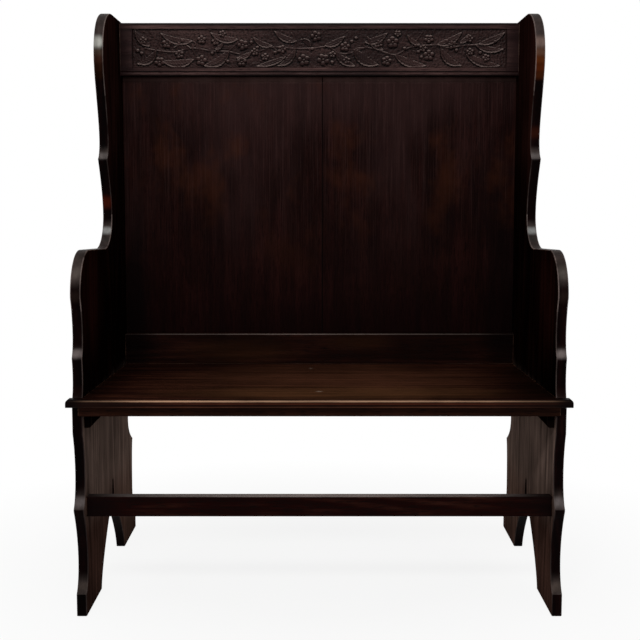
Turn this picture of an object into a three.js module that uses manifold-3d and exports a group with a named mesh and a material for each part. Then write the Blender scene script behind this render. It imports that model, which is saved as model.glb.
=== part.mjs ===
// Oak settle bench: two shaped end boards, a seat on cleats, a boarded back and a crest rail.
// Millimetres, +Z up, front towards -Y. The origin is on the floor, under the middle of the settle.
// In the outlines below, depth is measured back from the front line of the end boards.

import * as THREE from 'three';
import { mergeVertices } from 'three/addons/utils/BufferGeometryUtils.js';
import Module from 'manifold-3d';

const wasm = await Module();
wasm.setup();

// Width over the end boards, their height and the board that they are cut from
const outerWidth = 980;
const endThickness = 21;
const endHeight = 1253;

// Gap between pieces that touch, and how far a cut runs past what it cuts
const fit = 0.3;
const overrun = 5;

// Seat board, which slopes down to the back
const seatHeight = 450;
const seatThickness = 17;
const seatTilt = 1.75;
const noseReach = 24;
const noseRound = 6;
const noseUnderRound = 4;
const earOverhang = 7.5;
const earRound = 9;

// Back boards, joined by a tongue and groove: from the front line of the end boards to their face
const boardDepth = 430;
const boardThickness = 12;
const backLip = 4;
const boardTopFall = 4;
const boardJointX = 7;
const tongueThickness = 4;
const tongueLength = 6;
const jointBevel = 1;

// Feet and the pointed arch between them
const frontFootLength = 128;
const archWidth = 238;
const archLean = 3;
const archHeight = 200;
const archShoulderHeight = 126;
const archShoulderWidth = 80;
const heelKick = 51;
const heelHeight = 30;

// Front edge of the end boards: long hollows that end in cusps with a narrow flat nose
const footFaceHeight = 45;
const lowHollow = 22;
const lowCuspHeight = 218.5;
const lowCuspReach = 8;
const cuspFlat = 5;
const coveHollow = 16;
const seatBlockReach = 3.5;
const seatBlockDrop = 74;
const upperCuspRise = 73;
const upperCuspDepth = 3.2;
const aboveSeatHollow = 7;
const underArmHollow = 11;

// Arm, the cove behind it and the wing, with widths counted from the rear edge
const armRise = 287;
const armRoundHeight = 90;
const armRoundDepth = 75;
const armFall = 7;
const coveRun = 72;
const coveRise = 72;
const wingWaist = 152.5;
const wingTipWidth = 191.5;
const wingTipShare = 0.366;
const wingHollow = 48;
const wingWidth = 213;
const wingRoundShare = 0.795;
const wingTopRun = 116;
const wingTopFall = 1;
const backCornerRound = 8;

// Rear edge below the back boards: waist, cusp and hollow, at shares of the height of the boards' foot
const rearWaistIn = 19;
const rearWaistShare = 0.79;
const rearCuspOut = 31;
const rearCuspShare = 0.63;
const rearHollowOut = 18;
const rearHollowShare = 0.31;

// Apron under the nosing
const apronHeight = 19.5;
const apronReach = 8;
const apronThickness = 14;
const apronRound = 2.5;
const apronLap = 8;

// Cleats that carry the seat, screwed to the end boards
const bearerThickness = 15;
const bearerHeight = 46;
const bearerRound = 8;

// Front stretcher
const stretcherTop = 244;
const stretcherHeight = 41;
const stretcherThickness = 20;
const stretcherDepth = 10;
const stretcherRound = 2;

// Crest rail with its sunk panel, scratched line and bead
const crestFall = 6;
const crestHeight = 122.5;
const crestThickness = 26;
const crestRound = 3;
const beadHeight = 8.5;
const lineWidth = 1.8;
const lineDepth = 1.5;
const panelMargin = 30;
const panelBottomMargin = 19;
const panelTopMargin = 13.7;
const panelDepth = 4;

// Lower back rail above the seat, and the rail behind and under the seat
const lowerRailRise = 74;
const lowerRailThickness = 22;
const lowerRailBevel = 2;
const seatRailHeight = 44;
const seatRailThickness = 22;

// Stub tenons of the rails
const tenonLength = 12;
const tenonThickness = 10;
const tenonShoulder = 7;

// Glue blocks behind the apron
const blockLeg = 16;
const blockLength = 60;
const blockPlaceShares = [-0.5, 0, 0.5];

// Wood screws with countersunk heads, and how far their points bite
const screwHeadRadius = 4.2;
const screwHeadHeight = 2.6;
const screwShankRadius = 2.2;
const screwTipRadius = 0.6;
const screwTipLength = 6;
const sideScrewBite = 13;
const seatScrewBite = 10;
const seatScrewSink = 12;
const sideScrewPlaceShares = [0.12, 0.5, 0.88];
const seatScrewPlaceShares = [0.31, 0.69];
const screwSides = 12;

// Cut nails through the back boards
const nailBite = 15;
const nailHeadWidth = 6;
const nailHeadHeight = 2;
const nailShankWidth = 3.8;
const nailTipWidth = 1.6;
const nailThickness = 2.4;
const nailPlaceShares = [0.12, 0.5, 0.88];
const nailFromEdge = 26;

const curveSteps = 20;
const roundSteps = 5;

// Places that several pieces share
const outerX = outerWidth / 2;
const innerX = outerX - endThickness;
const earX = outerX + earOverhang;
const boardBack = boardDepth + boardThickness;
const backDepth = boardBack + backLip;
const heelDepth = backDepth + heelKick;
const middleDepth = (heelDepth - noseReach) / 2;
const seatSlope = Math.tan(THREE.MathUtils.degToRad(seatTilt));
const seatTopAt = (depth) => seatHeight - (depth + noseReach) * seatSlope;
const seatUnderAt = (depth) => seatTopAt(depth) - seatThickness;
const armHeight = seatHeight + armRise;
const wingHeight = endHeight - armHeight;
const apronBack = apronThickness - apronReach;
const bearerFront = apronBack + fit;
const bearerBottom = seatUnderAt(bearerFront) - fit - bearerHeight;
const bearerX = innerX - fit;
const bearerInnerX = bearerX - bearerThickness;
const crestTop = endHeight - crestFall;

// Rails between the end boards: where the section of each lies, in depth and height
const rails = {
  crest: {
    front: boardDepth - crestThickness,
    back: boardDepth - fit,
    low: crestTop - crestHeight,
    high: crestTop,
  },
  lower: {
    front: boardDepth - lowerRailThickness,
    back: boardDepth - fit,
    low: seatTopAt(boardDepth - lowerRailThickness) + fit,
    high: seatTopAt(boardDepth) + lowerRailRise,
  },
  seat: {
    front: boardDepth - seatRailThickness,
    back: boardDepth - fit,
    low: seatUnderAt(boardDepth) - fit - seatRailHeight,
    high: seatUnderAt(boardDepth) - fit,
  },
  stretcher: {
    front: stretcherDepth,
    back: stretcherDepth + stretcherThickness,
    low: stretcherTop - stretcherHeight,
    high: stretcherTop,
  },
};
const boardBottom = rails.seat.low;

const wood = (colour, roughness) => new THREE.MeshStandardMaterial({ color: colour, roughness, metalness: 0 });
const metal = (colour) => new THREE.MeshStandardMaterial({ color: colour, roughness: 0.5, metalness: 0.9 });

const settle = new THREE.Group();
settle.name = 'settle_bench';

function addPiece(name, geometry, material) {
  const piece = new THREE.Mesh(geometry, material);
  piece.name = name;
  settle.add(piece);
}

// Joining and cutting

function solidOf(geometry) {
  const bare = geometry.clone();
  bare.deleteAttribute('normal');
  bare.deleteAttribute('uv');
  const welded = mergeVertices(bare);
  const vertProperties = Float32Array.from(welded.attributes.position.array);
  const triVerts = Uint32Array.from(welded.index.array);
  return new wasm.Manifold(new wasm.Mesh({ numProp: 3, vertProperties, triVerts }));
}

function geometryOf(solid) {
  const mesh = solid.getMesh();
  const geometry = new THREE.BufferGeometry();
  geometry.setAttribute('position', new THREE.BufferAttribute(Float32Array.from(mesh.vertProperties), 3));
  geometry.setIndex(new THREE.BufferAttribute(Uint32Array.from(mesh.triVerts), 1));
  geometry.computeVertexNormals();
  return geometry;
}

const cutAll = (solid, cutters) => cutters.reduce((rest, cutter) => rest.subtract(cutter), solid);

// Three ways to draw a piece. Depth becomes Y, counted from the middle of the settle.

// An outline in the side view, of depth and height, that runs across from one X to another
function drawnAcross(outline, fromX, toX) {
  const settings = { depth: toX - fromX, bevelEnabled: false, curveSegments: curveSteps };
  const geometry = new THREE.ExtrudeGeometry(outline, settings);
  const backwards = new THREE.Vector3(0, 1, 0);
  const up = new THREE.Vector3(0, 0, 1);
  const across = new THREE.Vector3(1, 0, 0);
  geometry.applyMatrix4(new THREE.Matrix4().makeBasis(backwards, up, across));
  return geometry.translate(fromX, -middleDepth, 0);
}

// An outline in the front view, of X and height, that runs back from one depth to another
function drawnBackwards(outline, fromDepth, toDepth) {
  const settings = { depth: toDepth - fromDepth, bevelEnabled: false, curveSegments: roundSteps };
  const geometry = new THREE.ExtrudeGeometry(outline, settings);
  geometry.rotateX(Math.PI / 2);
  return geometry.translate(0, toDepth - middleDepth, 0);
}

// An outline in plan, of X and depth, that runs up from one height to another
function drawnUpwards(outline, fromHeight, toHeight) {
  const settings = { depth: toHeight - fromHeight, bevelEnabled: false, curveSegments: roundSteps };
  const geometry = new THREE.ExtrudeGeometry(outline, settings);
  return geometry.translate(0, -middleDepth, fromHeight);
}

function block(fromX, toX, fromDepth, toDepth, fromHeight, toHeight) {
  const geometry = new THREE.BoxGeometry(toX - fromX, toDepth - fromDepth, toHeight - fromHeight);
  const middleX = (fromX + toX) / 2;
  const middleY = (fromDepth + toDepth) / 2 - middleDepth;
  return geometry.translate(middleX, middleY, (fromHeight + toHeight) / 2);
}

// Parts of an outline

// A hollow between two cusps, cut back by its depth from the straight line between them
const hollowShares = [0.16, 0.62];
const hollowPullShare = 4 / 3;
function hollowTo(outline, depth, height, hollow) {
  const start = outline.currentPoint;
  const [low, high] = hollowShares.map((share) => [
    start.x + (depth - start.x) * share + hollow * hollowPullShare,
    start.y + (height - start.y) * share,
  ]);
  outline.bezierCurveTo(low[0], low[1], high[0], high[1], depth, height);
}

// A quarter round that leaves upright and arrives level, or the other way about
const quarterShare = 0.55;
function roundTo(outline, depth, height, leavesUpright) {
  const { x, y } = outline.currentPoint;
  const alongDepth = (depth - x) * quarterShare;
  const alongHeight = (height - y) * quarterShare;
  if (leavesUpright) {
    outline.bezierCurveTo(x, y + alongHeight, depth - alongDepth, height, depth, height);
  } else {
    outline.bezierCurveTo(x + alongDepth, y, depth, height - alongHeight, depth, height);
  }
}

// A smooth swing between two upright stretches
const swingShare = 0.45;
function swingTo(outline, depth, height) {
  const { x, y } = outline.currentPoint;
  const pull = (height - y) * swingShare;
  outline.bezierCurveTo(x, y + pull, depth, height - pull, depth, height);
}

// End boards: foot, arch, front edge, arm, wing and rear edge in one outline

const wingHollowShares = [0.16, 0.7];
const tipCoveShares = [0.37, 0.72, 0.42];
const wingRoundShares = [0.65, 0.55];
const rearCoveShares = [0.48, 0.56, 0.8];
const heelShares = [0.47, 0.5, 0.78];
const archLowShares = [0.1, 0.33, 0.62, 0.73];
const archHighShares = [0.45, 0.23, 0.1, 0.5];

function drawFrontEdge(outline) {
  outline.lineTo(0, footFaceHeight);
  hollowTo(outline, -lowCuspReach, lowCuspHeight, lowHollow);
  outline.lineTo(-lowCuspReach, lowCuspHeight + cuspFlat);
  hollowTo(outline, -seatBlockReach, seatHeight - seatBlockDrop, coveHollow);
  outline.lineTo(-seatBlockReach, seatTopAt(0) - seatThickness / 2);
  hollowTo(outline, upperCuspDepth, seatHeight + upperCuspRise, aboveSeatHollow);
  outline.lineTo(upperCuspDepth, seatHeight + upperCuspRise + cuspFlat);
  hollowTo(outline, 0, armHeight - armRoundHeight, underArmHollow);
}

function drawArmAndWing(outline) {
  const coveDepth = backDepth - wingWaist;
  const coveHeight = armHeight - armFall + coveRise;
  const tipDepth = backDepth - wingTipWidth;
  const tipHeight = armHeight + wingHeight * wingTipShare;
  roundTo(outline, armRoundDepth, armHeight, true);
  outline.lineTo(coveDepth - coveRun, armHeight - armFall);
  roundTo(outline, coveDepth, coveHeight, false);
  const tipRise = tipHeight - coveHeight;
  const tipReach = coveDepth - tipDepth;
  outline.bezierCurveTo(
    coveDepth, coveHeight + tipRise * tipCoveShares[0],
    tipDepth + tipReach * tipCoveShares[2], coveHeight + tipRise * tipCoveShares[1],
    tipDepth, tipHeight,
  );
  const frontDepth = backDepth - wingWidth;
  const roundHeight = armHeight + wingHeight * wingRoundShare;
  const wingRise = roundHeight - tipHeight;
  outline.bezierCurveTo(
    tipDepth + wingHollow, tipHeight + wingRise * wingHollowShares[0],
    frontDepth, tipHeight + wingRise * wingHollowShares[1],
    frontDepth, roundHeight,
  );
  const topDepth = backDepth - wingTopRun;
  outline.bezierCurveTo(
    frontDepth, roundHeight + (endHeight - roundHeight) * wingRoundShares[0],
    topDepth - (topDepth - frontDepth) * wingRoundShares[1], endHeight,
    topDepth, endHeight,
  );
}

function drawRearEdge(outline) {
  const waistDepth = backDepth - rearWaistIn;
  const cuspDepth = backDepth + rearCuspOut;
  const hollowDepth = backDepth + rearHollowOut;
  const [waistHeight, cuspHeight, hollowHeight] = [rearWaistShare, rearCuspShare, rearHollowShare]
    .map((share) => boardBottom * share);
  outline.lineTo(backDepth - backCornerRound, endHeight - wingTopFall);
  roundTo(outline, backDepth, endHeight - wingTopFall - backCornerRound, false);
  outline.lineTo(backDepth, boardBottom);
  swingTo(outline, waistDepth, waistHeight);
  const coveDrop = waistHeight - cuspHeight;
  const coveReach = cuspDepth - waistDepth;
  outline.bezierCurveTo(
    waistDepth, waistHeight - coveDrop * rearCoveShares[0],
    waistDepth + coveReach * rearCoveShares[1], waistHeight - coveDrop * rearCoveShares[2],
    cuspDepth, cuspHeight,
  );
  roundTo(outline, hollowDepth, hollowHeight, false);
  const heelDrop = hollowHeight - heelHeight;
  const heelReach = heelDepth - hollowDepth;
  outline.bezierCurveTo(
    hollowDepth, hollowHeight - heelDrop * heelShares[0],
    hollowDepth + heelReach * heelShares[1], hollowHeight - heelDrop * heelShares[2],
    heelDepth, heelHeight,
  );
  outline.lineTo(heelDepth, 0);
}

// The arch between the feet: rounded shoulders that turn over into a keel point
function drawArch(outline) {
  const middle = frontFootLength + archWidth / 2;
  const shoulder = archShoulderWidth / 2;
  const shoulderRun = archWidth / 2 - shoulder;
  const pointRise = archHeight - archShoulderHeight;
  const side = (sign) => {
    const low = (share, heightShare) => [
      middle + sign * (shoulder + shoulderRun * share), archShoulderHeight * heightShare,
    ];
    const high = (share, heightShare) => [
      middle + sign * shoulder * share + archLean * (1 - share), archShoulderHeight + pointRise * heightShare,
    ];
    return {
      foot: low(1, 0),
      lowPulls: [low(1 - archLowShares[0], archLowShares[1]), low(1 - archLowShares[2], archLowShares[3])],
      shoulder: low(0, 1),
      highPulls: [high(1 - archHighShares[0], archHighShares[1]), high(archHighShares[2], archHighShares[3])],
    };
  };
  const rear = side(1);
  const front = side(-1);
  outline.lineTo(...rear.foot);
  outline.bezierCurveTo(...rear.lowPulls[0], ...rear.lowPulls[1], ...rear.shoulder);
  outline.bezierCurveTo(...rear.highPulls[0], ...rear.highPulls[1], middle + archLean, archHeight);
  outline.bezierCurveTo(...front.highPulls[1], ...front.highPulls[0], ...front.shoulder);
  outline.bezierCurveTo(...front.lowPulls[1], ...front.lowPulls[0], ...front.foot);
}

function endBoardOutline() {
  const outline = new THREE.Shape();
  outline.moveTo(0, 0);
  drawFrontEdge(outline);
  drawArmAndWing(outline);
  drawRearEdge(outline);
  drawArch(outline);
  outline.closePath();
  return outline;
}

// Stub tenons and their mortises

function tenonBlock(rail, reach, growth) {
  const middle = (rail.front + rail.back) / 2;
  const halfThickness = tenonThickness / 2 + growth;
  const low = rail.low + tenonShoulder - growth;
  const high = rail.high - tenonShoulder + growth;
  return solidOf(block(-reach, reach, middle - halfThickness, middle + halfThickness, low, high));
}

const tenonReach = innerX + tenonLength;
const withTenons = (solid, rail) => solid.add(tenonBlock(rail, tenonReach, 0));
const mortises = Object.values(rails).map((rail) => tenonBlock(rail, tenonReach + fit, fit));

// Screws and nails, and the holes that they fill

// A countersunk screw along +Z, with its head's face at zero
function screwGeometry(length, growth) {
  const profile = [
    new THREE.Vector2(0, growth),
    new THREE.Vector2(screwHeadRadius + growth, growth),
    new THREE.Vector2(screwHeadRadius + growth, 0),
    new THREE.Vector2(screwShankRadius + growth, -screwHeadHeight),
    new THREE.Vector2(screwShankRadius + growth, -length + screwTipLength),
    new THREE.Vector2(screwTipRadius + growth, -length - growth),
    new THREE.Vector2(0, -length - growth),
  ];
  const turned = growth > 0 ? profile : profile.filter((point, i) => i !== 2);
  return new THREE.LatheGeometry(turned.reverse(), screwSides).rotateX(Math.PI / 2);
}

// Screws through the cleats into the end boards
function sideScrewPlaces(sign) {
  const run = rails.seat.front - bearerFront;
  return sideScrewPlaceShares.map((share) => {
    const depth = bearerFront + run * share;
    const height = (bearerBottom + seatUnderAt(depth)) / 2;
    return new THREE.Vector3(sign * (bearerInnerX + fit), depth - middleDepth, height);
  });
}

function sideScrew(place, growth) {
  const towardsEnd = place.x > 0 ? -1 : 1;
  const geometry = screwGeometry(bearerThickness + sideScrewBite, growth).rotateY(towardsEnd * Math.PI / 2);
  return geometry.translate(place.x, place.y, place.z);
}

// Screws up through the cleats into the seat, sunk in from below
function seatScrewPlaces(sign) {
  const run = rails.seat.front - bearerFront;
  return seatScrewPlaceShares.map((share) => {
    const depth = bearerFront + run * share;
    const x = sign * (bearerX - bearerThickness / 2);
    return new THREE.Vector3(x, depth - middleDepth, bearerBottom + seatScrewSink);
  });
}

function seatScrew(place, growth) {
  const length = seatUnderAt(place.y + middleDepth) + seatScrewBite - place.z;
  const geometry = screwGeometry(length, growth).rotateX(Math.PI);
  return geometry.translate(place.x, place.y, place.z);
}

function seatScrewWell(place) {
  const height = seatScrewSink + overrun;
  const well = new THREE.CylinderGeometry(screwHeadRadius + fit, screwHeadRadius + fit, height, screwSides);
  well.rotateX(Math.PI / 2);
  return well.translate(place.x, place.y, place.z - height / 2);
}

// A cut nail driven towards the front, flush with the back of the boards
function nailGeometry(place, growth) {
  const outline = new THREE.Shape();
  const half = (width) => width / 2 + growth;
  const tip = boardDepth - nailBite - growth;
  outline.moveTo(half(nailHeadWidth), boardBack + growth);
  outline.lineTo(half(nailHeadWidth), boardBack - nailHeadHeight - growth);
  outline.lineTo(half(nailShankWidth), boardBack - nailHeadHeight - growth);
  outline.lineTo(half(nailTipWidth), tip);
  outline.lineTo(-half(nailTipWidth), tip);
  outline.lineTo(-half(nailShankWidth), boardBack - nailHeadHeight - growth);
  outline.lineTo(-half(nailHeadWidth), boardBack - nailHeadHeight - growth);
  outline.lineTo(-half(nailHeadWidth), boardBack + growth);
  outline.closePath();
  const halfThickness = nailThickness / 2 + growth;
  const geometry = drawnUpwards(outline, place.z - halfThickness, place.z + halfThickness);
  return geometry.translate(place.x, 0, 0);
}

const boardSpans = {
  left: [-innerX + fit, boardJointX],
  right: [boardJointX + fit, innerX - fit],
};
const nailRows = {
  crest: rails.crest.low + nailFromEdge,
  lower: rails.lower.high - nailFromEdge,
  seat: (rails.seat.low + rails.seat.high) / 2,
};

function nailPlaces(side, row) {
  const [left, right] = boardSpans[side];
  return nailPlaceShares.map((share) => new THREE.Vector3(left + (right - left) * share, 0, nailRows[row]));
}

const nails = [];
for (const side of Object.keys(boardSpans)) {
  for (const row of Object.keys(nailRows)) {
    nailPlaces(side, row).forEach((place, i) => nails.push({ name: `back_nail_${row}_${side}_${i + 1}`, place }));
  }
}
const nailHoles = nails.map((nail) => solidOf(nailGeometry(nail.place, fit)));
const sides = { left: -1, right: 1 };

// End boards, with mortises for the rails and holes for the cleat screws

const stainedOak = wood(0x2b1a12, 0.45);
const seatOak = wood(0x54331f, 0.5);
const insideOak = wood(0x5f4530, 0.7);
const iron = metal(0x4b4844);

for (const [side, sign] of Object.entries(sides)) {
  const outline = endBoardOutline();
  const [low, high] = sign > 0 ? [innerX, outerX] : [-outerX, -innerX];
  const screwHoles = sideScrewPlaces(sign).map((place) => solidOf(sideScrew(place, fit)));
  const board = cutAll(solidOf(drawnAcross(outline, low, high)), [...mortises, ...screwHoles]);
  addPiece(`end_board_${side}`, geometryOf(board), stainedOak);
}

// Seat board: a rounded nosing that runs on in front of the end boards and ends in small ears

function seatOutline() {
  const outline = new THREE.Shape();
  const back = boardDepth - fit;
  const top = seatTopAt(-noseReach);
  const under = seatUnderAt(-noseReach);
  outline.moveTo(back, seatUnderAt(back));
  outline.lineTo(back, seatTopAt(back));
  outline.lineTo(-noseReach + noseRound, seatTopAt(-noseReach + noseRound));
  outline.quadraticCurveTo(-noseReach, top, -noseReach, top - noseRound);
  outline.lineTo(-noseReach, under + noseUnderRound);
  outline.quadraticCurveTo(-noseReach, under, -noseReach + noseUnderRound, seatUnderAt(-noseReach + noseUnderRound));
  outline.closePath();
  return outline;
}

function earOutline() {
  const outline = new THREE.Shape();
  const low = seatUnderAt(boardBack) - overrun;
  outline.moveTo(-earX, low);
  outline.lineTo(earX, low);
  outline.lineTo(earX, seatHeight - earRound);
  outline.quadraticCurveTo(earX, seatHeight, earX - earRound, seatHeight);
  outline.lineTo(earRound - earX, seatHeight);
  outline.quadraticCurveTo(-earX, seatHeight, -earX, seatHeight - earRound);
  outline.closePath();
  return outline;
}

function makeSeat() {
  const whole = solidOf(drawnAcross(seatOutline(), -earX, earX));
  const rounded = whole.intersect(solidOf(drawnBackwards(earOutline(), -noseReach - overrun, boardBack)));
  const notches = Object.values(sides).map((sign) => {
    const [from, to] = [innerX - fit, earX + overrun].map((x) => x * sign).sort((a, b) => a - b);
    const low = seatUnderAt(boardBack) - overrun;
    return solidOf(block(from, to, -seatBlockReach - fit, boardBack, low, seatHeight + overrun));
  });
  const places = [...seatScrewPlaces(-1), ...seatScrewPlaces(1)];
  const holes = places.map((place) => solidOf(seatScrew(place, fit)));
  return cutAll(rounded, [...notches, ...holes]);
}

addPiece('seat_board', geometryOf(makeSeat()), seatOak);

// Apron: a slim rail under the nosing that laps over the front edges of the end boards

function makeApron() {
  const outline = new THREE.Shape();
  const topAt = (depth) => seatUnderAt(depth) - fit;
  const low = topAt(0) - apronHeight;
  outline.moveTo(apronBack, low);
  outline.lineTo(apronBack, topAt(apronBack));
  outline.lineTo(-apronReach, topAt(-apronReach));
  outline.lineTo(-apronReach, low + apronRound);
  outline.quadraticCurveTo(-apronReach, low, -apronReach + apronRound, low);
  outline.closePath();
  const lapX = innerX + apronLap;
  const whole = solidOf(drawnAcross(outline, -lapX, lapX));
  const notches = Object.values(sides).map((sign) => {
    const [from, to] = [innerX - fit, lapX + overrun].map((x) => x * sign).sort((a, b) => a - b);
    return solidOf(block(from, to, -seatBlockReach - fit, apronBack + overrun, low - overrun, seatHeight));
  });
  return cutAll(whole, notches);
}

addPiece('seat_apron', geometryOf(makeApron()), stainedOak);

// Cleats under the ends of the seat, with their lower inner edge rounded

function makeBearer(sign) {
  const front = bearerFront;
  const back = rails.seat.front - fit;
  const outline = new THREE.Shape();
  outline.moveTo(front, bearerBottom);
  outline.lineTo(back, bearerBottom);
  outline.lineTo(back, seatUnderAt(back) - fit);
  outline.lineTo(front, seatUnderAt(front) - fit);
  outline.closePath();
  const [low, high] = [bearerInnerX, bearerX].map((x) => x * sign).sort((a, b) => a - b);
  const section = new THREE.Shape();
  const inner = sign * bearerInnerX;
  const outer = sign * bearerX;
  section.moveTo(outer, bearerBottom);
  section.lineTo(outer, seatHeight);
  section.lineTo(inner, seatHeight);
  section.lineTo(inner, bearerBottom + bearerRound);
  section.quadraticCurveTo(inner, bearerBottom, inner + sign * bearerRound, bearerBottom);
  section.closePath();
  const shaped = solidOf(drawnAcross(outline, low, high))
    .intersect(solidOf(drawnBackwards(section, front - overrun, back + overrun)));
  const sideHoles = sideScrewPlaces(sign).map((place) => solidOf(sideScrew(place, fit)));
  const seatHoles = seatScrewPlaces(sign).map((place) => solidOf(seatScrew(place, fit)));
  const wells = seatScrewPlaces(sign).map((place) => solidOf(seatScrewWell(place)));
  return cutAll(shaped, [...sideHoles, ...seatHoles, ...wells]);
}

for (const [side, sign] of Object.entries(sides)) {
  addPiece(`seat_bearer_${side}`, geometryOf(makeBearer(sign)), insideOak);
}

// Rail behind the seat, which closes the seat's rear edge and takes the nails of the back boards

function makeSeatRail() {
  const { front, back, low, high } = rails.seat;
  const length = innerX - fit;
  const solid = withTenons(solidOf(block(-length, length, front, back, low, high)), rails.seat);
  return cutAll(solid, nailHoles);
}

addPiece('rear_seat_rail', geometryOf(makeSeatRail()), insideOak);

// Front stretcher between the end boards, tenoned in, with its arrises taken off

function makeStretcher() {
  const { front, back, low, high } = rails.stretcher;
  const outline = new THREE.Shape();
  outline.moveTo(front + stretcherRound, low);
  outline.lineTo(back, low);
  outline.lineTo(back, high - stretcherRound);
  outline.lineTo(back - stretcherRound, high);
  outline.lineTo(front + stretcherRound, high);
  outline.quadraticCurveTo(front, high, front, high - stretcherRound);
  outline.lineTo(front, low + stretcherRound);
  outline.quadraticCurveTo(front, low, front + stretcherRound, low);
  outline.closePath();
  const length = innerX - fit;
  return withTenons(solidOf(drawnAcross(outline, -length, length)), rails.stretcher);
}

addPiece('front_stretcher', geometryOf(makeStretcher()), stainedOak);

// Crest rail: a bead and a scratched line along its foot, and a sunk panel for the carved frieze

function crestOutline() {
  const { front, back, low, high } = rails.crest;
  const outline = new THREE.Shape();
  const line = low + beadHeight;
  outline.moveTo(back, low);
  outline.lineTo(back, high);
  outline.lineTo(front + crestRound, high);
  roundTo(outline, front, high - crestRound, false);
  outline.lineTo(front, line + lineWidth);
  outline.lineTo(front + lineDepth, line);
  roundTo(outline, front, low + beadHeight / 2, false);
  roundTo(outline, front + lineDepth, low, true);
  outline.closePath();
  return outline;
}

function makeCrest() {
  const { front, low, high } = rails.crest;
  const length = innerX - fit;
  const rail = withTenons(solidOf(drawnAcross(crestOutline(), -length, length)), rails.crest);
  const half = innerX - panelMargin;
  const panelLow = low + panelBottomMargin;
  const panel = block(-half, half, front - overrun, front + panelDepth, panelLow, high - panelTopMargin);
  return cutAll(rail, [solidOf(panel), ...nailHoles]);
}

addPiece('crest_rail', geometryOf(makeCrest()), stainedOak);

// Lower back rail, above the seat, with its top front arris bevelled

function makeLowerRail() {
  const { front, back, low, high } = rails.lower;
  const outline = new THREE.Shape();
  outline.moveTo(back, low);
  outline.lineTo(back, high);
  outline.lineTo(front + lowerRailBevel, high);
  outline.lineTo(front, high - lowerRailBevel);
  outline.lineTo(front, low);
  outline.closePath();
  const length = innerX - fit;
  return cutAll(withTenons(solidOf(drawnAcross(outline, -length, length)), rails.lower), nailHoles);
}

addPiece('lower_back_rail', geometryOf(makeLowerRail()), stainedOak);

// Back boards: the right one has the tongue, the left one the groove, both bevelled at the joint

function leftBoardOutline() {
  const [left, right] = boardSpans.left;
  const middle = (boardDepth + boardBack) / 2;
  const half = tongueThickness / 2 + fit;
  const outline = new THREE.Shape();
  outline.moveTo(left, boardDepth);
  outline.lineTo(right - jointBevel, boardDepth);
  outline.lineTo(right, boardDepth + jointBevel);
  outline.lineTo(right, middle - half);
  outline.lineTo(right - tongueLength - fit, middle - half);
  outline.lineTo(right - tongueLength - fit, middle + half);
  outline.lineTo(right, middle + half);
  outline.lineTo(right, boardBack);
  outline.lineTo(left, boardBack);
  outline.closePath();
  return outline;
}

function rightBoardOutline() {
  const [left, right] = boardSpans.right;
  const middle = (boardDepth + boardBack) / 2;
  const half = tongueThickness / 2;
  const outline = new THREE.Shape();
  outline.moveTo(left + jointBevel, boardDepth);
  outline.lineTo(right, boardDepth);
  outline.lineTo(right, boardBack);
  outline.lineTo(left, boardBack);
  outline.lineTo(left, middle + half);
  outline.lineTo(left - tongueLength, middle + half);
  outline.lineTo(left - tongueLength, middle - half);
  outline.lineTo(left, middle - half);
  outline.lineTo(left, boardDepth + jointBevel);
  outline.closePath();
  return outline;
}

const boardOutlines = { left: leftBoardOutline, right: rightBoardOutline };
for (const [side, outlineOf] of Object.entries(boardOutlines)) {
  const board = solidOf(drawnUpwards(outlineOf(), boardBottom, crestTop - boardTopFall));
  addPiece(`back_board_${side}`, geometryOf(cutAll(board, nailHoles)), stainedOak);
}

// Glue blocks in the corner of the seat and the apron

function makeGlueBlock(place) {
  const front = bearerFront;
  const outline = new THREE.Shape();
  outline.moveTo(front, seatUnderAt(front) - fit);
  outline.lineTo(front + blockLeg, seatUnderAt(front + blockLeg) - fit);
  outline.lineTo(front, seatUnderAt(front) - fit - blockLeg);
  outline.closePath();
  return drawnAcross(outline, place - blockLength / 2, place + blockLength / 2);
}

blockPlaceShares.forEach((share, i) => addPiece(`glue_block_${i + 1}`, makeGlueBlock(share * innerX), insideOak));

// Screws and nails

for (const [side, sign] of Object.entries(sides)) {
  sideScrewPlaces(sign).forEach((place, i) => {
    addPiece(`bearer_screw_${side}_${i + 1}`, sideScrew(place, 0), iron);
  });
  seatScrewPlaces(sign).forEach((place, i) => {
    addPiece(`seat_screw_${side}_${i + 1}`, seatScrew(place, 0), iron);
  });
}
nails.forEach((nail) => addPiece(nail.name, nailGeometry(nail.place, 0), iron));

export default settle;
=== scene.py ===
import math

import bmesh
import bpy
import numpy as np
from mathutils import Matrix, Vector


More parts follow.
